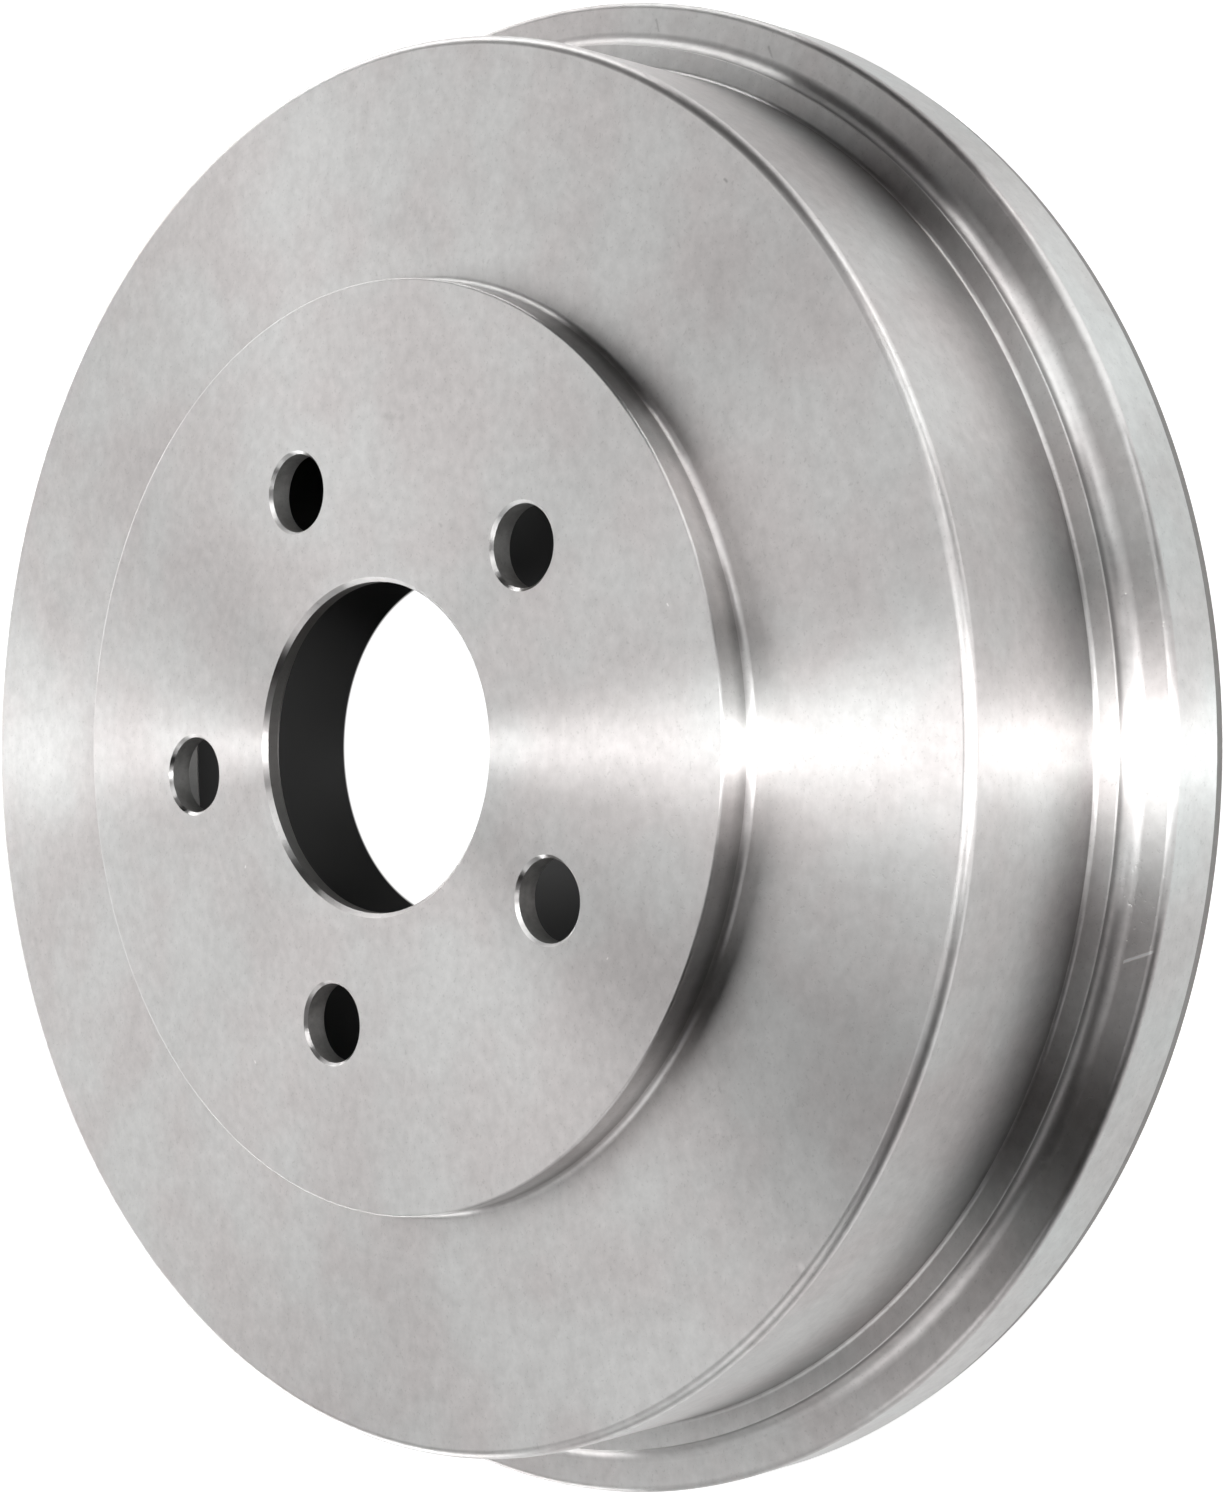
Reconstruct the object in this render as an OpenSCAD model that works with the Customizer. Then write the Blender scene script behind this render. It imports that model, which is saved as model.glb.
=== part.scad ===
/* [Brake surface and barrel] */
// Height of the drum, from its open edge to the hub face
drum_h = 60.2; // [54:0.1:80]
// Diameter of the surface that the brake shoes press on
brake_d = 250; // [220:0.5:280]
// Thickness of the barrel wall outside that surface
barrel_wall = 8.7; // [6:0.1:12]
// Radius on the shoulder where the web turns into the barrel
shoulder_r = 2; // [0.5:0.1:4]
// Height of the run-out groove between the web and the brake surface
runout_h = 5; // [4.2:0.1:8]
// How far the run-out groove is cut into the barrel
runout_depth = 1; // [0.3:0.1:2]
// Radius in the corner between the web and the run-out groove
runout_r = 3; // [0.5:0.1:3.8]
// Bevel at the mouth of the brake surface
mouth_bevel = 1.5; // [0.5:0.1:2.5]

/* [Collar between barrel and rim] */
// How far the collar stands out from the barrel
collar_step = 4.5; // [3:0.1:7]
// How far the collar stands in front of the rim
collar_w = 3.8; // [3.6:0.1:8]
// Radius where the barrel runs into the collar
collar_root_r = 1.6; // [0.5:0.1:2.4]
// Radius on the outer edge of the collar
collar_edge_r = 0.4; // [0.2:0.1:0.6]
// Radius of the cove between the collar and the rim
cove_r = 3.2; // [1:0.1:3.4]

/* [Rim and open edge] */
// How far the rim stands out from the collar
rim_step = 8.8; // [5:0.1:14]
// Width of the rim, from the open edge to its front face
rim_w = 15; // [11:0.1:20]
// Radius on the front corner of the rim
rim_corner_r = 0.6; // [0.2:0.1:1.2]
// Height of the cone that narrows the rim at its open edge
rim_cone_h = 2.6; // [1:0.1:4]
// How far that cone brings the edge in
rim_cone_in = 0.8; // [0.3:0.1:1.5]
// Thickness of the inner lip, between the brake surface and the dust groove
inner_lip_t = 7.5; // [5:0.1:10]
// How far the inner lip stands back from the open edge
inner_lip_back = 2.4; // [0.5:0.1:5]
// Width of the dust groove in the open edge
groove_w = 7; // [5:0.1:9]
// Depth of the dust groove
groove_depth = 8; // [7:0.1:9.5]
// Radius in the corners of the dust groove
groove_r = 1.2; // [0.3:0.1:2]
// Bevel on the edges of both lips
lip_bevel = 0.6; // [0.2:0.1:1]

/* [Web and hub pad] */
// Thickness of the web
web_t = 5.6; // [4:0.1:8]
// Diameter of the raised pad that the wheel is clamped against
pad_d = 176; // [168:0.5:200]
// How far the pad stands in front of the web
pad_h = 7.1; // [5.5:0.1:12]
// Thickness of the plate under the pad
pad_t = 5; // [4:0.1:6.5]
// Radius on the edge of the pad
pad_edge_r = 0.8; // [0.2:0.1:2]
// Radius where the pad rises from the web
pad_root_r = 1.4; // [0.5:0.1:3]
// Thickness of the wall between the edge of the pad and the recess behind it
pad_wall = 6.5; // [5:0.1:9]
// Radius in the corner of the recess
recess_root_r = 2.5; // [0.5:0.1:3]
// Radius on the edge of the recess
recess_edge_r = 2; // [0.5:0.1:2.4]

/* [Center bore and stud holes] */
// Diameter of the center bore
bore_d = 63.5; // [56:0.1:76]
// Bevel on the front edge of the center bore
bore_front_bevel = 0.9; // [0.3:0.1:1.5]
// Bevel on the back edge of the center bore
bore_back_bevel = 0.5; // [0.3:0.1:1.5]
// Number of stud holes
stud_count = 5; // [4:1:8]
// Diameter of the circle that the stud holes lie on
stud_circle_d = 108; // [97:0.1:126]
// Diameter of each stud hole
stud_d = 15.2; // [11:0.1:18]
// Bevel on the front edge of each stud hole
stud_front_bevel = 0.6; // [0.2:0.1:1.2]
// Bevel on the back edge of each stud hole
stud_back_bevel = 0.4; // [0.2:0.1:1.2]

/* [Hidden] */
// Facets of a full turn where the surfaces are drawn as a mesh
$fn = 180;
// How far a cut starts outside the surface that it opens
clear = 1;
// Heights above the open edge
collar_top = rim_w + collar_w;
web_top = drum_h - pad_h;
web_bottom = web_top - web_t;
pad_bottom = drum_h - pad_t;
runout_bottom = web_bottom - runout_h;
// Radii of the turned surfaces, from the brake surface outwards
brake_r = brake_d / 2;
runout_wall_r = brake_r + runout_depth;
barrel_r = brake_r + barrel_wall;
collar_r = barrel_r + collar_step;
rim_r = collar_r + rim_step;
groove_in_r = brake_r + inner_lip_t;
groove_out_r = groove_in_r + groove_w;
// Radii of the pad and of the recess behind it
pad_r = pad_d / 2;
recess_r = pad_r - pad_wall;

// The three-sided piece between a square corner and the round of radius r that touches both
// of its sides. The round lies towards side_x and side_y, which are 1 or -1.
module corner_piece(corner, side_x, side_y, r, past = 0) {
    low_x = side_x > 0 ? -past : -r;
    low_y = side_y > 0 ? -past : -r;
    translate(corner)
        difference() {
            translate([low_x, low_y])
                square(r + past);
            translate([side_x * r, side_y * r])
                circle(r = r);
        }
}

// Half section of the drum as if it were solid, from its axis outwards
module outside_section() {
    difference() {
        union() {
            polygon([
                [0, 0],
                [rim_r - rim_cone_in, 0],
                [rim_r, rim_cone_h],
                [rim_r, rim_w],
                [collar_r, rim_w],
                [collar_r, collar_top],
                [barrel_r, collar_top],
                [barrel_r, web_top],
                [pad_r, web_top],
                [pad_r, drum_h],
                [0, drum_h]
            ]);
            corner_piece([collar_r, rim_w], 1, 1, cove_r);
            corner_piece([barrel_r, collar_top], 1, 1, collar_root_r);
            corner_piece([pad_r, web_top], 1, 1, pad_root_r);
        }
        corner_piece([rim_r, rim_w], -1, -1, rim_corner_r, clear);
        corner_piece([collar_r, collar_top], -1, -1, collar_edge_r, clear);
        corner_piece([barrel_r, web_top], -1, -1, shoulder_r, clear);
        corner_piece([pad_r, drum_h], -1, -1, pad_edge_r, clear);
    }
}

// Half section of the space inside: mouth, brake surface, run-out groove and recess
module inside_section() {
    difference() {
        union() {
            polygon([
                [0, -clear],
                [groove_in_r, -clear],
                [groove_in_r, inner_lip_back],
                [brake_r + mouth_bevel, inner_lip_back],
                [brake_r, inner_lip_back + mouth_bevel],
                [brake_r, runout_bottom],
                [runout_wall_r, runout_bottom + runout_depth],
                [runout_wall_r, web_bottom],
                [recess_r, web_bottom],
                [recess_r, pad_bottom],
                [0, pad_bottom]
            ]);
            corner_piece([recess_r, web_bottom], 1, 1, recess_edge_r);
        }
        corner_piece([runout_wall_r, web_bottom], -1, -1, runout_r, clear);
        corner_piece([recess_r, pad_bottom], -1, -1, recess_root_r, clear);
    }
}

// Half section of the dust groove in the open edge, with the bevels of both lips
module groove_section() {
    difference() {
        translate([groove_in_r, -clear])
            square([groove_out_r - groove_in_r, groove_depth + clear]);
        corner_piece([groove_in_r, groove_depth], 1, -1, groove_r, clear);
        corner_piece([groove_out_r, groove_depth], -1, -1, groove_r, clear);
    }
    polygon([
        [groove_out_r, -clear],
        [groove_out_r + lip_bevel + clear, -clear],
        [groove_out_r, lip_bevel]
    ]);
    polygon([
        [groove_in_r, inner_lip_back],
        [groove_in_r - lip_bevel, inner_lip_back],
        [groove_in_r, inner_lip_back + lip_bevel]
    ]);
}

// A hole through the plate under the pad, with a bevel at each end
module beveled_hole(r, front_bevel, back_bevel) {
    translate([0, 0, pad_bottom - clear])
        cylinder(r = r, h = pad_t + 2 * clear);
    translate([0, 0, drum_h - front_bevel])
        cylinder(r1 = r, r2 = r + front_bevel + clear, h = front_bevel + clear);
    translate([0, 0, pad_bottom - clear])
        cylinder(r1 = r + back_bevel + clear, r2 = r, h = back_bevel + clear);
}

module brake_drum() {
    color([0.72, 0.72, 0.71])
        difference() {
            rotate_extrude()
                difference() {
                    outside_section();
                    inside_section();
                    groove_section();
                }
            beveled_hole(bore_d / 2, bore_front_bevel, bore_back_bevel);
            for (i = [0 : stud_count - 1])
                rotate([0, 0, 90 + i * 360 / stud_count])
                    translate([stud_circle_d / 2, 0, 0])
                        beveled_hole(stud_d / 2, stud_front_bevel, stud_back_bevel);
        }
}

brake_drum();
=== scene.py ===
"""A fine-turned cast-iron brake drum that stands on its open edge on a pale studio floor."""

import logging
import math
from dataclasses import dataclass
from enum import Enum

import bpy
from mathutils import Matrix, Vector

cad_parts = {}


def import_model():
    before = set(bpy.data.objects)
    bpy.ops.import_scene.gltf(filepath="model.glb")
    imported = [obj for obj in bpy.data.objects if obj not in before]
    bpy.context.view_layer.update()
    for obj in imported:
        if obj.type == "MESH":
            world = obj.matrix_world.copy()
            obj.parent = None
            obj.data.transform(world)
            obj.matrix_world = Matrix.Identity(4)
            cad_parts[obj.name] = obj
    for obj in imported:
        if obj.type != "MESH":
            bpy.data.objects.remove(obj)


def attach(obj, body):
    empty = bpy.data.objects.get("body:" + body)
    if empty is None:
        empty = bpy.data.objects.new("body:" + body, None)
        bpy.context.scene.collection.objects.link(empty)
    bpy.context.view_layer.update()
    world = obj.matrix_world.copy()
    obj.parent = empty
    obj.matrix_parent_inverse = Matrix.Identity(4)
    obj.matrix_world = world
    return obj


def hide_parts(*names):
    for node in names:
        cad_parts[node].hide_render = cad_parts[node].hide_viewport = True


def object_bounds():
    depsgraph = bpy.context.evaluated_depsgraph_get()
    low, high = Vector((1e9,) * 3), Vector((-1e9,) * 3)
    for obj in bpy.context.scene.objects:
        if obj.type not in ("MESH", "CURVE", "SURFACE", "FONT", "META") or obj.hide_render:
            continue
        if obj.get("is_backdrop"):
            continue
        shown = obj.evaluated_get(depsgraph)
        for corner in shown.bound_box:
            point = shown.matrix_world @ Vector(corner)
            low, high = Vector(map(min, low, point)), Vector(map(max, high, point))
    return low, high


Tree = bpy.types.NodeTree
Socket = bpy.types.NodeSocket

LOG = logging.getLogger("brake_drum")
MM = 0.001
NODE = "brake_drum"

# Sizes in mm that both the shape and its finishes follow, with heights above the open edge
HUB_FACE = 60.2
PAD_H = 7.1
WEB_FACE = HUB_FACE - PAD_H
RIM_FACE = 15.3
COLLAR_W = 3.5
COLLAR_FACE = RIM_FACE + COLLAR_W


def srgb(hex_code: str) -> tuple[float, float, float, float]:
    """Turn an sRGB hex colour into linear values.

    Args:
        hex_code: Six hex digits, such as "c8c8c6".

    Returns:
        Linear red, green and blue, and an alpha of 1.
    """
    channels = [int(hex_code[i:i + 2], 16) / 255 for i in (0, 2, 4)]
    linear = [c / 12.92 if c <= 0.04045 else ((c + 0.055) / 1.055) ** 2.4 for c in channels]
    return (*linear, 1.0)


def add_node(tree: Tree, kind: str, sockets: dict[int | str, object] | None = None,
             **settings: object) -> bpy.types.Node:
    """Add one shader node with its settings, its values and its links.

    Args:
        tree: The node tree that the node joins.
        kind: The node's type name, such as "ShaderNodeMath".
        sockets: For each input, by name or place, its value or the output that feeds it.
        settings: The node's own properties, by name.

    Returns:
        The new node.
    """
    node = tree.nodes.new(kind)
    for name, value in settings.items():
        setattr(node, name, value)
    for socket, value in (sockets or {}).items():
        if isinstance(value, Socket):
            tree.links.new(value, node.inputs[socket])
        else:
            node.inputs[socket].default_value = value
    return node


@dataclass(frozen=True)
class Mark:
    """A small stain, rub or scratch along a short line on the surface.

    Its ends are places on the drum in mm, its reach is in mm, and its contrast is the share of
    the colour's brightness that it adds or, below zero, takes away.
    """

    name: str
    start: tuple[float, float, float]
    end: tuple[float, float, float]
    reach: float
    contrast: float

    def shape(self, tree: Tree, place: Socket, grain: Socket) -> Socket:
        """Shape the mark: full on its line, and nothing past its reach.

        Args:
            tree: The material's node tree.
            place: The place on the drum.
            grain: A pattern that makes its edge uneven.

        Returns:
            The mark's pattern, from 0 to 1.
        """
        start = Vector(self.start) * MM
        along = Vector(self.end) * MM - start
        reach = self.reach * MM
        offset = add_node(tree, "ShaderNodeVectorMath", {0: place, 1: start},
                          operation="SUBTRACT").outputs["Vector"]
        share = add_node(tree, "ShaderNodeVectorMath",
                         {0: offset, 1: along / along.length_squared}, operation="DOT_PRODUCT")
        held = add_node(tree, "ShaderNodeClamp", {"Value": share.outputs["Value"]})
        nearest = add_node(tree, "ShaderNodeVectorMath",
                           {0: along, "Scale": held.outputs["Result"]}, operation="SCALE")
        gap = add_node(tree, "ShaderNodeVectorMath", {0: offset, 1: nearest.outputs["Vector"]},
                       operation="DISTANCE")
        uneven = add_node(tree, "ShaderNodeMath", {0: grain, 1: reach, 2: gap.outputs["Value"]},
                          operation="MULTIPLY_ADD")
        # The grain adds half the reach on average, so the mark is full on its line
        mark = add_node(tree, "ShaderNodeMapRange",
                        {"Value": uneven.outputs["Value"], "From Min": 0.5 * reach,
                         "From Max": 1.4 * reach, "To Min": 1.0, "To Max": 0.0},
                        interpolation_type="SMOOTHSTEP")
        return mark.outputs["Result"]


@dataclass(frozen=True)
class Iron:
    """Grey cast iron as a machine tool leaves it: a bare neutral metal with ring-shaped tool marks.

    Lengths are in mm, heights are above the open edge, and contrasts are shares of the colour's
    brightness.
    """

    name: str
    colour: str
    roughness: float
    anisotropy: float
    grain: float = 2.6
    grain_contrast: float = 0.2
    grain_depth: float = 0.002
    pit: float = 0.6
    pit_contrast: float = 0.11
    pit_depth: float = 0.006
    cloud: float = 26.0
    cloud_contrast: float = 0.18
    cool_share: float = 0.962
    # Fine turning leaves marks 0.1 to 0.2 mm apart, so these are drawn coarser to show at all
    tool_pitch: float = 0.9
    tool_contrast: float = 0.03
    tool_depth: float = 0.0006
    # Painted shade: from dark_at to clear_at, in mm above the open edge, the colour darkens from
    # dark_share to full
    dark_at: float = 0.0
    clear_at: float = 0.0
    dark_share: float = 1.0
    marks: tuple[Mark, ...] = ()

    def build(self) -> bpy.types.Material:
        """Build the material.

        Returns:
            The material.
        """
        material = bpy.data.materials.new(self.name)
        material.use_nodes = True
        tree = material.node_tree
        tree.nodes.clear()
        place = add_node(tree, "ShaderNodeTexCoord").outputs["Object"]
        section = self.section_place(tree, place)
        grain = self.mottle(tree, place, self.grain, detail=6, roughness=0.62)
        cloud = self.mottle(tree, place, self.cloud, detail=3, roughness=0.5)
        rings = self.mottle(tree, section, self.tool_pitch, detail=2, roughness=0.5)
        specks = self.mottle(tree, place, self.pit, detail=1, roughness=0.5)
        pits = self.pick_peaks(tree, specks, low=0.64, high=0.74)
        layers = [(grain, 2 * self.grain_contrast), (cloud, 2 * self.cloud_contrast),
                  (rings, 2 * self.tool_contrast), (pits, -self.pit_contrast)]
        layers += [(mark.shape(tree, place, grain), mark.contrast) for mark in self.marks]
        shade = self.mix_shade(tree, layers)
        # Painted shade towards an inner corner, where a finish has one
        if self.dark_share < 1:
            shade = self.paint_corner_shade(tree, shade, section)
        relief = self.raise_relief(tree, [(grain, self.grain_depth), (pits, -self.pit_depth),
                                          (rings, self.tool_depth)])
        # The tool marks run round the axis, and a quarter turn draws each highlight out across them
        round_axis = add_node(tree, "ShaderNodeVectorMath", {0: (0, 0, 1), 1: place},
                              operation="CROSS_PRODUCT")
        shader = add_node(tree, "ShaderNodeBsdfPrincipled",
                          {"Base Color": self.tint(tree, cloud, shade), "Metallic": 1.0,
                           "Roughness": self.roughness, "Anisotropic": self.anisotropy,
                           "Anisotropic Rotation": 0.25, "Normal": relief,
                           "Tangent": round_axis.outputs["Vector"]})
        add_node(tree, "ShaderNodeOutputMaterial", {"Surface": shader.outputs["BSDF"]})
        return material

    def section_place(self, tree: Tree, place: Socket) -> Socket:
        """Reduce a place on the drum to its place in the turned section.

        Args:
            tree: The material's node tree.
            place: The place on the drum.

        Returns:
            The radius and the height, as a vector. Patterns in it run round the axis as rings.
        """
        height = add_node(tree, "ShaderNodeSeparateXYZ", {"Vector": place}).outputs["Z"]
        flat = add_node(tree, "ShaderNodeVectorMath", {0: place, 1: (1, 1, 0)},
                        operation="MULTIPLY")
        radius = add_node(tree, "ShaderNodeVectorMath", {0: flat.outputs["Vector"]},
                          operation="LENGTH")
        section = add_node(tree, "ShaderNodeCombineXYZ",
                           {"X": radius.outputs["Value"], "Z": height})
        return section.outputs["Vector"]

    def mottle(self, tree: Tree, place: Socket, size: float, detail: float,
               roughness: float) -> Socket:
        """Spread a cloudy pattern of a real size over the metal.

        Args:
            tree: The material's node tree.
            place: The coordinate that the pattern lies in.
            size: Size of its largest features, in mm.
            detail: How many times finer features are added.
            roughness: How strong the finer features are.

        Returns:
            The pattern, from 0 to 1 about 0.5.
        """
        pattern = add_node(tree, "ShaderNodeTexNoise",
                           {"Vector": place, "Scale": 1 / (size * MM), "Detail": detail,
                            "Roughness": roughness})
        return pattern.outputs["Fac"]

    def pick_peaks(self, tree: Tree, pattern: Socket, low: float, high: float) -> Socket:
        """Keep the peaks of a pattern, with soft edges.

        Args:
            tree: The material's node tree.
            pattern: The pattern.
            low: Where the edge of a peak starts.
            high: Where a peak is full.

        Returns:
            The peaks, from 0 to 1.
        """
        peaks = add_node(tree, "ShaderNodeMapRange",
                         {"Value": pattern, "From Min": low, "From Max": high},
                         interpolation_type="SMOOTHSTEP")
        return peaks.outputs["Result"]

    def mix_shade(self, tree: Tree, layers: list[tuple[Socket, float]]) -> Socket:
        """Mix the metal's brightness from its patterns.

        Args:
            tree: The material's node tree.
            layers: Each pattern, from 0 to 1, and the share of it that is added.

        Returns:
            The share of the colour's brightness at each place.
        """
        shade = 1.0 - self.grain_contrast - self.cloud_contrast - self.tool_contrast
        for pattern, gain in layers:
            mixed = add_node(tree, "ShaderNodeMath", {0: pattern, 1: gain, 2: shade},
                             operation="MULTIPLY_ADD")
            shade = mixed.outputs["Value"]
        return shade

    def paint_corner_shade(self, tree: Tree, shade: Socket, section: Socket) -> Socket:
        """Darken the colour with painted shade towards the inner corner at the end of the surface.

        Args:
            tree: The material's node tree.
            shade: The shade so far.
            section: The radius and the height, as a vector.

        Returns:
            The new shade.
        """
        height = add_node(tree, "ShaderNodeSeparateXYZ", {"Vector": section}).outputs["Z"]
        share = add_node(tree, "ShaderNodeMapRange",
                         {"Value": height, "From Min": self.dark_at * MM,
                          "From Max": self.clear_at * MM, "To Min": self.dark_share,
                          "To Max": 1.0}, interpolation_type="SMOOTHSTEP")
        faded = add_node(tree, "ShaderNodeMath", {0: shade, 1: share.outputs["Result"]},
                         operation="MULTIPLY")
        return faded.outputs["Value"]

    def tint(self, tree: Tree, cloud: Socket, shade: Socket) -> Socket:
        """Colour the shade, a little cooler where the clouds are light.

        Args:
            tree: The material's node tree.
            cloud: The cloudy pattern.
            shade: The share of the colour's brightness at each place.

        Returns:
            The colour at each place.
        """
        warm = srgb(self.colour)
        cool = (warm[0] * self.cool_share, *warm[1:])
        tone = add_node(tree, "ShaderNodeMix",
                        {"Factor": self.pick_peaks(tree, cloud, low=0.35, high=0.65),
                         6: warm, 7: cool}, data_type="RGBA")
        colour = add_node(tree, "ShaderNodeVectorMath", {0: tone.outputs[2], "Scale": shade},
                          operation="SCALE")
        return colour.outputs["Vector"]

    def raise_relief(self, tree: Tree, layers: list[tuple[Socket, float]]) -> Socket:
        """Raise and sink the surface by its patterns, one over the other.

        Args:
            tree: The material's node tree.
            layers: Each pattern and how far it rises or, below zero, sinks, in mm.

        Returns:
            The normal of the uneven surface.
        """
        below = {}
        for pattern, depth in layers:
            bump = add_node(tree, "ShaderNodeBump",
                            {"Height": pattern, "Strength": 1.0, "Distance": abs(depth) * MM,
                             **below}, invert=depth < 0)
            below = {"Normal": bump.outputs["Normal"]}
        return below["Normal"]


# The stains, specks, scratches and nicks that show on the hub pad, the web and the rim
MARKS = (
    Mark("stain_between_stud_holes", (61.5, -9.5, HUB_FACE), (60, -15, HUB_FACE), 1.2, -0.09),
    Mark("spot_above_bore", (39, -23, HUB_FACE), (38.5, -23.5, HUB_FACE), 0.6, -0.15),
    Mark("smudge_on_upper_web", (101, -10, WEB_FACE), (92, -21, WEB_FACE), 7.0, -0.05),
    Mark("smudge_on_left_web", (20, 116, WEB_FACE), (48, 103, WEB_FACE), 8.0, -0.04),
    Mark("speck_by_shoulder", (87.5, -91.5, WEB_FACE), (87, -92, WEB_FACE), 0.5, -0.35),
    Mark("rub_on_shoulder", (-95.5, -89.5, WEB_FACE), (-97.5, -91.5, WEB_FACE - 1.3), 1.2, 0.2),
    Mark("scratch_on_rim_face", (136, -46, RIM_FACE), (133, -46.5, RIM_FACE), 0.4, -0.25),
    Mark("short_scratch_on_rim_face", (123, -73, RIM_FACE), (119.5, -74, RIM_FACE), 0.4, -0.25),
    Mark("bright_scratch_on_rim_face", (-49.5, -132, RIM_FACE), (-48, -138.5, RIM_FACE), 0.45, 1.2),
    Mark("nick_right_of_bore", (16.5, -77.5, HUB_FACE), (16.2, -77.7, HUB_FACE), 0.3, 0.5),
    Mark("nick_left_of_bore", (-19.5, 39.5, HUB_FACE), (-19.8, 39.6, HUB_FACE), 0.3, 0.5),
    Mark("nick_low_on_pad", (-58, 40.5, HUB_FACE), (-58.3, 40.4, HUB_FACE), 0.3, 0.5),
    Mark("nick_low_right_on_pad", (-42.5, -57.5, HUB_FACE), (-42.7, -57.3, HUB_FACE), 0.3, 0.5),
)


class Finish(Enum):
    """The finishes that the drum's surfaces have."""

    # Fine turning draws each light out into a streak across the face, over a faint grain.
    TURNED = Iron("grey_iron_fine_turned", "cfcbca", 0.3, 1.0, marks=MARKS)
    # The same cut on the barrel, with painted shade that darkens it towards the collar.
    BARREL = Iron("grey_iron_turned_barrel", "cbc7c6", 0.3, 1.0, dark_at=COLLAR_FACE + 0.6,
                  clear_at=COLLAR_FACE + 19.2, dark_share=0.58)
    # The lightest cut, which shows the room in broad soft bands.
    RIM_SIDE = Iron("grey_iron_turned_rim", "d2d1d0", 0.3, 1.0)
    # The hollow of the cove catches one bright line, and painted shade darkens it under the collar.
    COVE = Iron("grey_iron_turned_cove", "d2cecd", 0.3, 1.0, dark_at=COLLAR_FACE - 0.8,
                clear_at=RIM_FACE + 1.6, dark_share=0.5)
    # The pad's low wall has painted shade at its foot and is light at its edge.
    PAD_WALL = Iron("grey_iron_turned_pad_wall", "d2cecd", 0.3, 1.0, dark_at=WEB_FACE + 1.5,
                    clear_at=WEB_FACE + 4.4, dark_share=0.7)
    # Rubbed after turning, so its thin line of light is softer.
    SHOULDER = Iron("grey_iron_rubbed_shoulder", "d2cecd", 0.36, 0.65)
    # A duller cut that leaves the wall of the bore dark and even.
    BORED = Iron("grey_iron_bored_smooth", "9c9997", 0.5, 0.3)
    # Painted darker, as painted shade for the dark that the open edge reflects from under the drum,
    # so the drum ends in a thin dark line.
    EDGE = Iron("grey_iron_painted_shade_edge", "8a8785", 0.45, 0.0, tool_contrast=0.0, tool_depth=0.0)
    # Drilling leaves it coarse and mottled, with small broken glints.
    DRILLED = Iron("grey_iron_drilled", "b4b1af", 0.55, 0.0, grain=1.6, grain_contrast=0.4,
                   grain_depth=0.02, tool_contrast=0.0, tool_depth=0.0)
    # Bored as the shoes need it: a greyer, softer sheen than outside.
    INSIDE = Iron("grey_iron_bored", "b2afad", 0.36, 0.9)


@dataclass(frozen=True)
class Corner:
    """One corner of the drum's section: its radius, its height and how far it is rounded, in mm."""

    radius: float
    height: float
    rounding: float = 0.0


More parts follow.
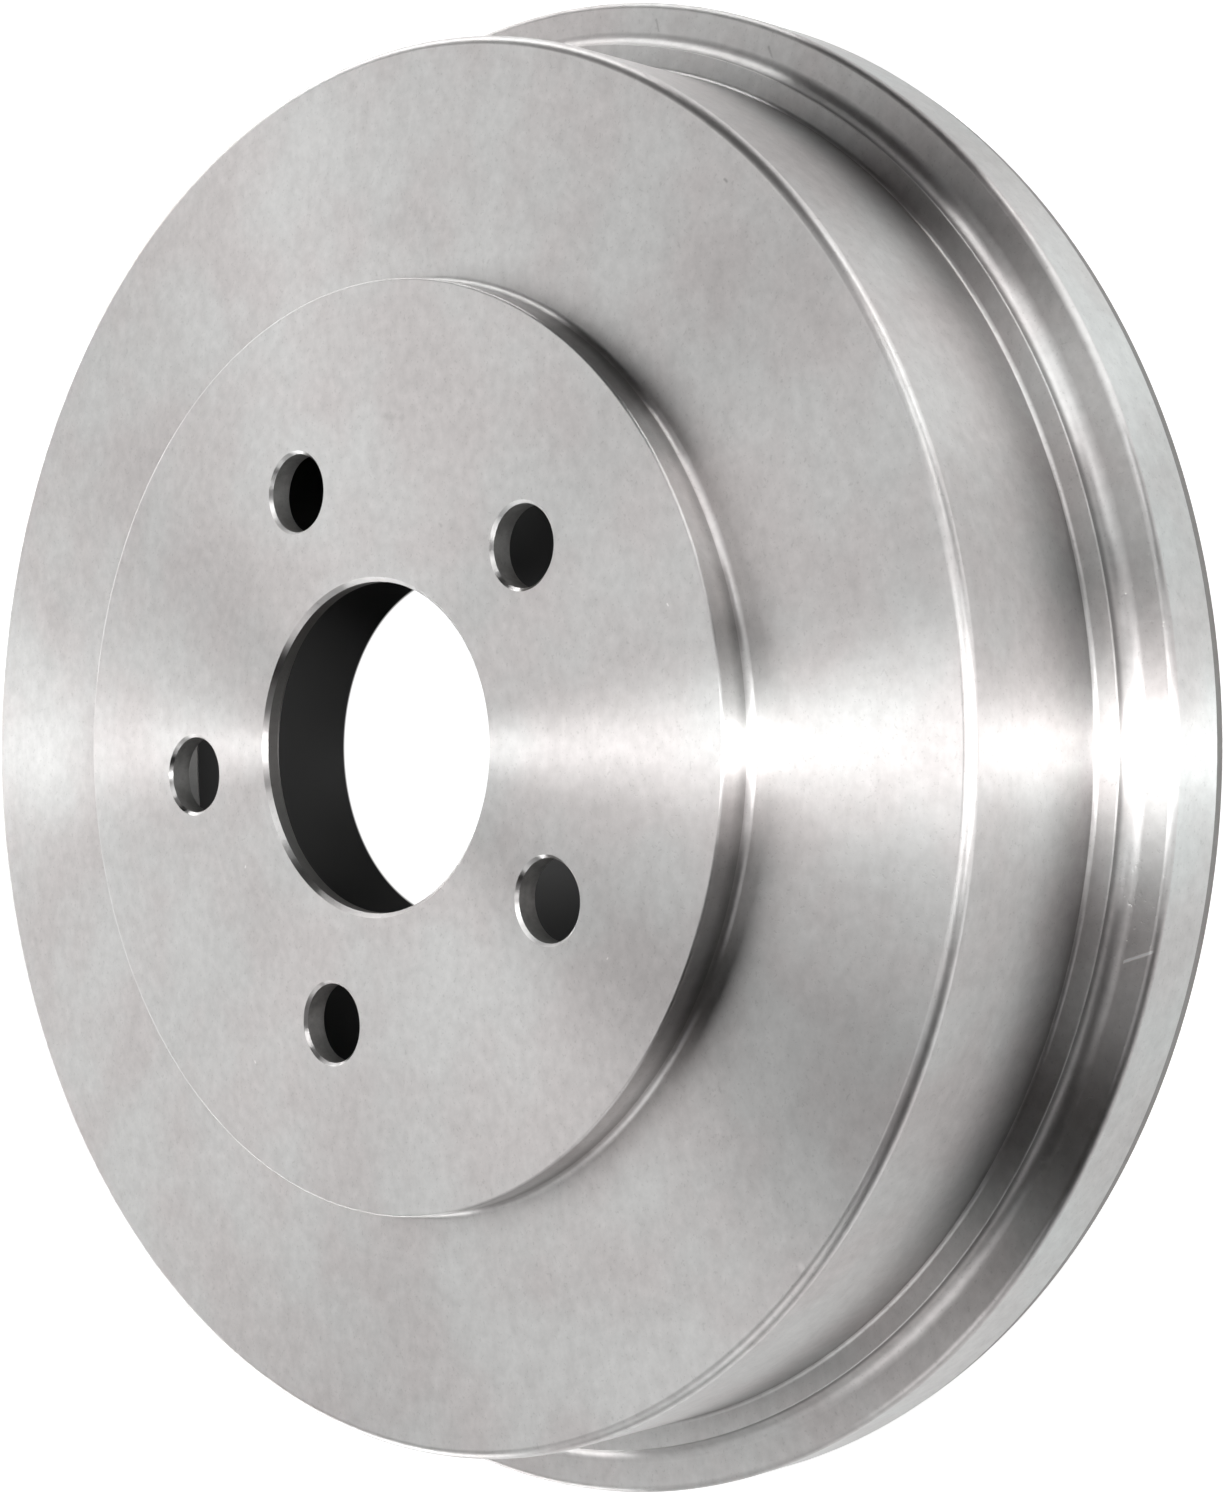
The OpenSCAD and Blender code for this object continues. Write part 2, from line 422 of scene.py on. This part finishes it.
@dataclass(frozen=True)
class Drum:
    """The drum's one casting, turned from a drawn section and drilled.

    All sizes are in mm, and heights are measured from the open edge.
    """

    height: float
    rim_r: float
    rim_w: float = RIM_FACE
    rim_cone_h: float = 2.6
    rim_cone_in: float = 0.5
    rim_corner_r: float = 1.4
    collar_r: float = 138.2
    collar_w: float = COLLAR_W
    collar_root_r: float = 0.9
    collar_edge_r: float = 0.2
    cove_r: float = 3.2
    barrel_r: float = 133.7
    shoulder_r: float = 2.0
    web_t: float = 5.6
    pad_r: float = 88.0
    pad_h: float = PAD_H
    pad_t: float = 5.0
    pad_edge_r: float = 0.5
    pad_root_r: float = 1.4
    recess_r: float = 81.5
    recess_root_r: float = 2.5
    recess_edge_r: float = 2.0
    bore_r: float = 31.3
    bore_front_bevel: float = 0.85
    bore_back_bevel: float = 1.8
    stud_count: int = 5
    stud_circle_r: float = 54.0
    stud_r: float = 7.6
    stud_front_bevel: float = 0.6
    stud_back_bevel: float = 0.4
    brake_r: float = 125.0
    runout_h: float = 5.0
    runout_depth: float = 1.0
    runout_r: float = 3.0
    mouth_bevel: float = 1.5
    lip_back: float = 2.4
    groove_in_r: float = 132.5
    groove_out_r: float = 139.5
    groove_depth: float = 8.0
    groove_r: float = 1.2
    lip_bevel: float = 0.6
    edge_break: float = 0.25
    turn_steps: int = 360
    round_steps: int = 8
    hole_steps: int = 96

    def section(self) -> list[Corner]:
        """List the corners of the half section, from the bore over the outside and back inside.

        Returns:
            The corners in order round the section.
        """
        web_top = self.height - self.pad_h
        web_bottom = web_top - self.web_t
        pad_bottom = self.height - self.pad_t
        collar_top = self.rim_w + self.collar_w
        runout_bottom = web_bottom - self.runout_h
        runout_wall = self.brake_r + self.runout_depth
        return [
            Corner(self.bore_r, self.height - self.bore_front_bevel),
            Corner(self.bore_r + self.bore_front_bevel, self.height),
            Corner(self.pad_r, self.height, self.pad_edge_r),
            Corner(self.pad_r, web_top, self.pad_root_r),
            Corner(self.barrel_r, web_top, self.shoulder_r),
            Corner(self.barrel_r, collar_top, self.collar_root_r),
            Corner(self.collar_r, collar_top, self.collar_edge_r),
            Corner(self.collar_r, self.rim_w, self.cove_r),
            Corner(self.rim_r, self.rim_w, self.rim_corner_r),
            Corner(self.rim_r, self.rim_cone_h, self.edge_break),
            Corner(self.rim_r - self.rim_cone_in, 0.0, self.edge_break),
            Corner(self.groove_out_r + self.lip_bevel, 0.0),
            Corner(self.groove_out_r, self.lip_bevel),
            Corner(self.groove_out_r, self.groove_depth, self.groove_r),
            Corner(self.groove_in_r, self.groove_depth, self.groove_r),
            Corner(self.groove_in_r, self.lip_back + self.lip_bevel),
            Corner(self.groove_in_r - self.lip_bevel, self.lip_back),
            Corner(self.brake_r + self.mouth_bevel, self.lip_back),
            Corner(self.brake_r, self.lip_back + self.mouth_bevel),
            Corner(self.brake_r, runout_bottom),
            Corner(runout_wall, runout_bottom + self.runout_depth),
            Corner(runout_wall, web_bottom, self.runout_r),
            Corner(self.recess_r, web_bottom, self.recess_edge_r),
            Corner(self.recess_r, pad_bottom, self.recess_root_r),
            Corner(self.bore_r + self.bore_back_bevel, pad_bottom),
            Corner(self.bore_r, pad_bottom + self.bore_back_bevel),
        ]

    def draw_section(self) -> bpy.types.Object:
        """Draw the half section as a closed wire, point by point.

        Returns:
            The wire, as a mesh object.
        """
        corners = self.section()
        bpy.ops.object.select_all(action="DESELECT")
        bpy.ops.mesh.primitive_plane_add(size=MM)
        wire = bpy.context.object
        wire.name = NODE + "_turned"
        bpy.ops.object.mode_set(mode="EDIT")
        bpy.ops.mesh.select_all(action="SELECT")
        bpy.ops.mesh.merge(type="CENTER")
        first = corners[0]
        bpy.ops.transform.translate(value=(first.radius * MM, 0, first.height * MM))
        for here, there in zip(corners, corners[1:]):
            step = ((there.radius - here.radius) * MM, 0, (there.height - here.height) * MM)
            bpy.ops.mesh.extrude_region_move(TRANSFORM_OT_translate={"value": step})
        self.select_corners(wire, [corners[0], corners[-1]])
        bpy.ops.mesh.edge_face_add()
        return wire

    def select_corners(self, wire: bpy.types.Object, corners: list[Corner]) -> None:
        """Select only the wire's points that lie at the given corners, and stay in edit mode.

        Args:
            wire: The section's wire.
            corners: The corners to select.
        """
        bpy.ops.object.mode_set(mode="EDIT")
        bpy.ops.mesh.select_mode(type="VERT")
        bpy.ops.mesh.select_all(action="DESELECT")
        bpy.ops.object.mode_set(mode="OBJECT")
        places = [Vector((c.radius * MM, 0, c.height * MM)) for c in corners]
        near = 0.01 * MM
        for vertex in wire.data.vertices:
            vertex.select = any((vertex.co - place).length < near for place in places)
        bpy.ops.object.mode_set(mode="EDIT")

    def round_corners(self, wire: bpy.types.Object) -> None:
        """Round each corner of the section that has a rounding.

        Args:
            wire: The section's wire.
        """
        for corner in self.section():
            if corner.rounding:
                self.select_corners(wire, [corner])
                bpy.ops.mesh.bevel(offset=corner.rounding * MM, segments=self.round_steps,
                                   profile=0.5, affect="VERTICES")

    def turn(self, wire: bpy.types.Object) -> None:
        """Spin the section once round the axis and close it.

        Args:
            wire: The section's wire, which becomes the turned body.
        """
        bpy.ops.mesh.select_all(action="SELECT")
        bpy.ops.mesh.spin(steps=self.turn_steps, angle=2 * math.pi, center=(0, 0, 0),
                          axis=(0, 0, 1))
        bpy.ops.mesh.select_all(action="SELECT")
        bpy.ops.mesh.remove_doubles(threshold=0.001 * MM)
        bpy.ops.mesh.normals_make_consistent(inside=False)
        bpy.ops.object.mode_set(mode="OBJECT")

    def drill(self, body: bpy.types.Object) -> None:
        """Drill the stud holes with their bevels.

        Args:
            body: The turned body.
        """
        for hole in range(self.stud_count):
            angle = math.pi / 2 + hole * 2 * math.pi / self.stud_count
            cutter = self.hole_cutter(angle)
            bpy.ops.object.select_all(action="DESELECT")
            bpy.context.view_layer.objects.active = body
            body.select_set(True)
            cut = body.modifiers.new("stud_hole", "BOOLEAN")
            cut.operation = "DIFFERENCE"
            cut.solver = "EXACT"
            cut.object = cutter
            bpy.ops.object.modifier_apply(modifier=cut.name)
            bpy.data.objects.remove(cutter)

    def hole_cutter(self, angle: float) -> bpy.types.Object:
        """Make the tool that cuts one stud hole: a cylinder that flares at both faces of the plate.

        Args:
            angle: Where the hole lies round the axis, in radians.

        Returns:
            The cutter.
        """
        clear = 1.0
        pad_bottom = self.height - self.pad_t
        levels = [
            (pad_bottom - clear, self.stud_r + self.stud_back_bevel + clear),
            (pad_bottom + self.stud_back_bevel, self.stud_r),
            (self.height - self.stud_front_bevel, self.stud_r),
            (self.height + clear, self.stud_r + self.stud_front_bevel + clear),
        ]
        x = self.stud_circle_r * math.cos(angle) * MM
        y = self.stud_circle_r * math.sin(angle) * MM
        bpy.ops.object.select_all(action="DESELECT")
        bpy.ops.mesh.primitive_circle_add(vertices=self.hole_steps, radius=levels[0][1] * MM,
                                          fill_type="NGON", location=(x, y, levels[0][0] * MM))
        cutter = bpy.context.object
        bpy.ops.object.mode_set(mode="EDIT")
        bpy.ops.mesh.select_all(action="SELECT")
        for (low, low_r), (high, high_r) in zip(levels, levels[1:]):
            rise = (0, 0, (high - low) * MM)
            bpy.ops.mesh.extrude_region_move(TRANSFORM_OT_translate={"value": rise})
            share = high_r / low_r
            bpy.ops.transform.resize(value=(share, share, 1), center_override=(x, y, 0))
        bpy.ops.mesh.select_all(action="SELECT")
        bpy.ops.mesh.normals_make_consistent(inside=False)
        bpy.ops.object.mode_set(mode="OBJECT")
        return cutter

    def smooth(self, body: bpy.types.Object) -> None:
        """Shade the rounds smooth, keep the flats flat and put the object at the origin.

        Args:
            body: The drilled body.
        """
        bpy.ops.object.select_all(action="DESELECT")
        bpy.context.view_layer.objects.active = body
        body.select_set(True)
        bpy.ops.object.transform_apply(location=True, rotation=True, scale=True)
        bpy.ops.object.shade_smooth_by_angle(angle=math.radians(30))
        flat = body.modifiers.new("flat_faces", "WEIGHTED_NORMAL")
        flat.keep_sharp = True
        bpy.ops.object.modifier_apply(modifier=flat.name)

    def build(self) -> bpy.types.Object:
        """Turn, drill and smooth the drum.

        Returns:
            The finished body.
        """
        body = self.draw_section()
        self.round_corners(body)
        self.turn(body)
        self.drill(body)
        self.smooth(body)
        return body

    def dress(self, body: bpy.types.Object) -> None:
        """Give each face its finish by where it lies.

        Args:
            body: The finished body.
        """
        finishes = list(Finish)
        for finish in finishes:
            body.data.materials.append(finish.value.build())
        for face in body.data.polygons:
            face.material_index = finishes.index(self.finish_at(face.center, face.normal))

    def finish_at(self, centre: Vector, normal: Vector) -> Finish:
        """Find the finish of the surface at a place.

        Args:
            centre: The place, in metres.
            normal: The way that the surface faces there.

        Returns:
            The finish.
        """
        near = 0.05
        below_edge = 0.3
        into_web = 1.0
        radius = math.hypot(centre.x, centre.y) / MM
        height = centre.z / MM
        web_top = self.height - self.pad_h
        collar_top = self.rim_w + self.collar_w
        wall = abs(normal.z) < 0.5
        facing_in = centre.x * normal.x + centre.y * normal.y < 0
        if wall and abs(radius - self.stud_circle_r) < self.stud_r + self.stud_front_bevel:
            return Finish.DRILLED
        if wall and radius < self.bore_r + 2 * near:
            return Finish.BORED
        if wall and abs(radius - self.barrel_r) < near:
            return Finish.BARREL
        if wall and abs(radius - self.pad_r) < near:
            return Finish.PAD_WALL
        if radius > self.barrel_r - self.shoulder_r and height > web_top - self.shoulder_r:
            return Finish.SHOULDER
        if radius > self.collar_r - 2 * near and self.rim_w < height < collar_top - below_edge:
            return Finish.COVE
        if wall and radius > self.groove_out_r + self.lip_bevel and height < self.rim_cone_h:
            return Finish.EDGE
        if wall and abs(radius - self.rim_r) < near:
            return Finish.RIM_SIDE
        under_web = height < web_top - self.web_t + into_web
        hollow = under_web and radius < self.groove_in_r and (facing_in or not wall)
        recess = radius < self.recess_r and normal.z < -0.5
        return Finish.INSIDE if hollow or recess else Finish.TURNED


@dataclass(frozen=True)
class Camera:
    """The camera, placed by its distances from the drum's axis and hub face, in mm."""

    azimuth_deg: float = 264.13
    side: float = 385.0
    above_hub: float = 341.1
    tilt_deg: float = 43.38
    lens: float = 65.45

    def build(self, hub_height: float) -> bpy.types.Object:
        """Place the camera. The drum's axis lies level in its picture, with the hub to the left.

        Args:
            hub_height: Height of the hub face, in mm.

        Returns:
            The camera.
        """
        azimuth = math.radians(self.azimuth_deg)
        tilt = math.radians(self.tilt_deg)
        out = Vector((math.cos(azimuth), math.sin(azimuth), 0))
        axis = Vector((0, 0, 1))
        right = out * math.cos(tilt) - axis * math.sin(tilt)
        back = out * math.sin(tilt) + axis * math.cos(tilt)
        up = back.cross(right)
        data = bpy.data.cameras.new("camera")
        data.lens = self.lens
        camera = bpy.data.objects.new("camera", data)
        bpy.context.scene.collection.objects.link(camera)
        place = out * self.side * MM + axis * (hub_height + self.above_hub) * MM
        turn = Matrix((right, up, back)).transposed().to_4x4()
        camera.matrix_world = Matrix.Translation(place) @ turn
        bpy.context.scene.camera = camera
        return camera


@dataclass(frozen=True)
class SoftBox:
    """A soft box: where it stands in the sky over the drum, how much it fills, and its light.

    Its place is in degrees round from the camera and down from straight above. Its strength is
    the brightness that it gives a white matt face turned to it.
    """

    name: str
    round_deg: float
    down_deg: float
    wide_deg: float
    high_deg: float
    strength: float


# The narrow boxes in line with the camera draw the bright streak across the drum. The wide ones
# and those to its sides set how light each ring is farther round.
SOFT_BOXES = (
    SoftBox("left_low_near", 160, 84, 75, 12, 0.55),
    SoftBox("left_low_far", -140, 84, 75, 12, 0.45),
    SoftBox("left_middle", 185, 48, 45, 36, 0.2),
    SoftBox("right_middle", 0, 60, 35, 12, 0.12),
    SoftBox("right_narrow", 0, 60, 12, 12, 0.15),
    SoftBox("right_streak", 0, 60, 4, 12, 0.15),
    SoftBox("right_low", 0, 72, 6, 12, 0.25),
    SoftBox("far_low", -55, 84, 35, 12, 0.18),
    SoftBox("far_middle", -50, 48, 30, 18, 0.14),
    SoftBox("near_middle", 100, 66, 55, 24, 0.09),
    SoftBox("near_narrow", 90, 48, 20, 24, 0.06),
    SoftBox("near_high", 120, 48, 40, 24, 0.05),
    SoftBox("overhead_wide", -65, 8, 50, 50, 0.2),
    SoftBox("overhead_strip", 0, 12, 12, 36, 0.2),
)


@dataclass(frozen=True)
class Studio:
    """The room round the drum: a pale floor, soft boxes and a white surround.

    Lengths are in mm. The floor's own light starts outside the drum. Under the drum the floor is
    painted darker as painted shade, and only the camera sees a painted light patch there, through
    the bore.
    """

    camera_azimuth_deg: float
    distance: float = 2500.0
    floor_size: float = 3200.0
    floor_drop: float = 0.05
    floor_colour: str = "eeeeee"
    painted_shade_colour: str = "6c6c6c"
    glow: float = 0.135
    camera_lift: float = 0.3
    glow_from: float = 146.0
    # The patch is painted light: a glow under the bore that only the camera sees
    patch_r: float = 37.0
    patch_soft: float = 0.4
    patch_away: float = 40.0
    patch_from: float = 22.0
    patch_glow: float = 1.1

    def bearing(self, round_deg: float, down_deg: float) -> Vector:
        """Turn two angles into a direction.

        Args:
            round_deg: Degrees round the drum from the camera, positive to the picture's bottom.
            down_deg: Degrees down from straight above.

        Returns:
            The direction from the drum, with a length of 1.
        """
        azimuth = math.radians(self.camera_azimuth_deg - round_deg)
        down = math.radians(down_deg)
        level = Vector((math.cos(azimuth), math.sin(azimuth), 0)) * math.sin(down)
        return level + Vector((0, 0, math.cos(down)))

    def hang(self, box: SoftBox) -> bpy.types.Object:
        """Hang one soft box so that it faces the drum.

        Args:
            box: The soft box.

        Returns:
            The lamp.
        """
        out = self.bearing(box.round_deg, box.down_deg)
        side = Vector((0, 0, 1)).cross(self.bearing(box.round_deg, 90)).normalized()
        over = out.cross(side)
        reach = self.distance * MM
        data = bpy.data.lights.new(box.name, "AREA")
        data.shape = "RECTANGLE"
        data.size = 2 * reach * math.tan(math.radians(box.wide_deg / 2))
        data.size_y = 2 * reach * math.tan(math.radians(box.high_deg / 2))
        data.energy = (math.pi * reach) ** 2 * box.strength
        lamp = bpy.data.objects.new(box.name, data)
        bpy.context.scene.collection.objects.link(lamp)
        turn = Matrix((side, over, out)).transposed().to_4x4()
        lamp.matrix_world = Matrix.Translation(out * reach) @ turn
        lamp.visible_camera = False
        return lamp

    def lay_floor(self) -> bpy.types.Object:
        """Lay the pale floor just under the drum's open edge.

        Returns:
            The floor.
        """
        bpy.ops.object.select_all(action="DESELECT")
        bpy.ops.mesh.primitive_plane_add(size=self.floor_size * MM,
                                         location=(0, 0, -self.floor_drop * MM))
        floor = bpy.context.object
        floor.name = "studio_floor"
        floor.data.materials.append(self.paint_floor())
        floor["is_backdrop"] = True
        return floor

    def paint_floor(self) -> bpy.types.Material:
        """Build the floor's matt paint: even and white round the drum, painted darker under it as
        painted shade, with a painted light patch under the bore.

        Returns:
            The material.
        """
        material = bpy.data.materials.new("matt_white_floor")
        material.use_nodes = True
        tree = material.node_tree
        tree.nodes.clear()
        place = add_node(tree, "ShaderNodeTexCoord").outputs["Object"]
        seen = add_node(tree, "ShaderNodeLightPath").outputs["Is Camera Ray"]
        away = add_node(tree, "ShaderNodeVectorMath", {0: place}, operation="LENGTH")
        outside = add_node(tree, "ShaderNodeMath",
                           {0: away.outputs["Value"], 1: self.glow_from * MM},
                           operation="GREATER_THAN").outputs["Value"]
        glow = add_node(tree, "ShaderNodeMath", {0: seen, 1: self.camera_lift, 2: self.glow},
                        operation="MULTIPLY_ADD")
        # Painted light: the patch glows for the camera only, under the bore
        patch = add_node(tree, "ShaderNodeMath", {0: self.shape_painted_light_patch(tree, place), 1: seen},
                         operation="MULTIPLY")
        level = add_node(tree, "ShaderNodeMath",
                         {0: outside, 1: glow.outputs["Value"], 2: patch.outputs["Value"]},
                         operation="MULTIPLY_ADD")
        # Under the drum the floor takes a darker colour: painted shade for the dark hollow
        colour = add_node(tree, "ShaderNodeMix",
                          {"Factor": outside, 6: srgb(self.painted_shade_colour),
                           7: srgb(self.floor_colour)}, data_type="RGBA")
        shader = add_node(tree, "ShaderNodeBsdfPrincipled",
                          {"Base Color": colour.outputs[2], "Roughness": 1.0,
                           "Specular IOR Level": 0.0, "Emission Color": (1, 1, 1, 1),
                           "Emission Strength": level.outputs["Value"]})
        add_node(tree, "ShaderNodeOutputMaterial", {"Surface": shader.outputs["BSDF"]})
        return material

    def shape_painted_light_patch(self, tree: Tree, place: Socket) -> Socket:
        """Shape the painted light patch: round, and cut off where the bore no longer shows it.

        Args:
            tree: The floor's node tree.
            place: The place on the floor.

        Returns:
            The painted light of the patch at each place.
        """
        behind = -self.bearing(0, 90)
        gap = add_node(tree, "ShaderNodeVectorMath",
                       {0: place, 1: behind * self.patch_away * MM}, operation="DISTANCE")
        disc = add_node(tree, "ShaderNodeMapRange",
                        {"Value": gap.outputs["Value"],
                         "From Min": (self.patch_r - self.patch_soft) * MM,
                         "From Max": (self.patch_r + self.patch_soft) * MM,
                         "To Min": self.patch_glow, "To Max": 0.0},
                        interpolation_type="SMOOTHSTEP")
        past_axis = add_node(tree, "ShaderNodeVectorMath", {0: place, 1: behind},
                             operation="DOT_PRODUCT")
        under_bore = add_node(tree, "ShaderNodeMath",
                              {0: past_axis.outputs["Value"], 1: self.patch_from * MM},
                              operation="GREATER_THAN")
        patch = add_node(tree, "ShaderNodeMath",
                         {0: disc.outputs["Result"], 1: under_bore.outputs["Value"]},
                         operation="MULTIPLY")
        return patch.outputs["Value"]

    def whiten_surround(self) -> None:
        """Make what the camera sees past the floor white, without lighting the drum."""
        world = bpy.data.worlds.new("studio")
        bpy.context.scene.world = world
        world.use_nodes = True
        tree = world.node_tree
        tree.nodes.clear()
        seen = add_node(tree, "ShaderNodeLightPath").outputs["Is Camera Ray"]
        shine = add_node(tree, "ShaderNodeBackground", {"Color": (1, 1, 1, 1), "Strength": seen})
        add_node(tree, "ShaderNodeOutputWorld", {"Surface": shine.outputs["Background"]})


def main() -> None:
    """Build the drum, its finish, the camera, the floor and the lights."""
    logging.basicConfig(level=logging.INFO, format="%(name)s: %(message)s")
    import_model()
    cad_low, cad_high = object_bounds()
    bpy.context.scene.view_settings.view_transform = "Standard"
    height = cad_high[2] / MM
    view = Camera()
    view.build(height)
    drum = Drum(height=height, rim_r=cad_high[0] / MM)
    body = drum.build()
    drum.dress(body)
    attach(body, "root")
    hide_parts(NODE)
    LOG.info("drum: %d faces", len(body.data.polygons))
    studio = Studio(view.azimuth_deg)
    studio.lay_floor()
    studio.whiten_surround()
    for box in SOFT_BOXES:
        studio.hang(box)
        LOG.info("lamp: %s", box.name)


if __name__ == "__main__":
    main()
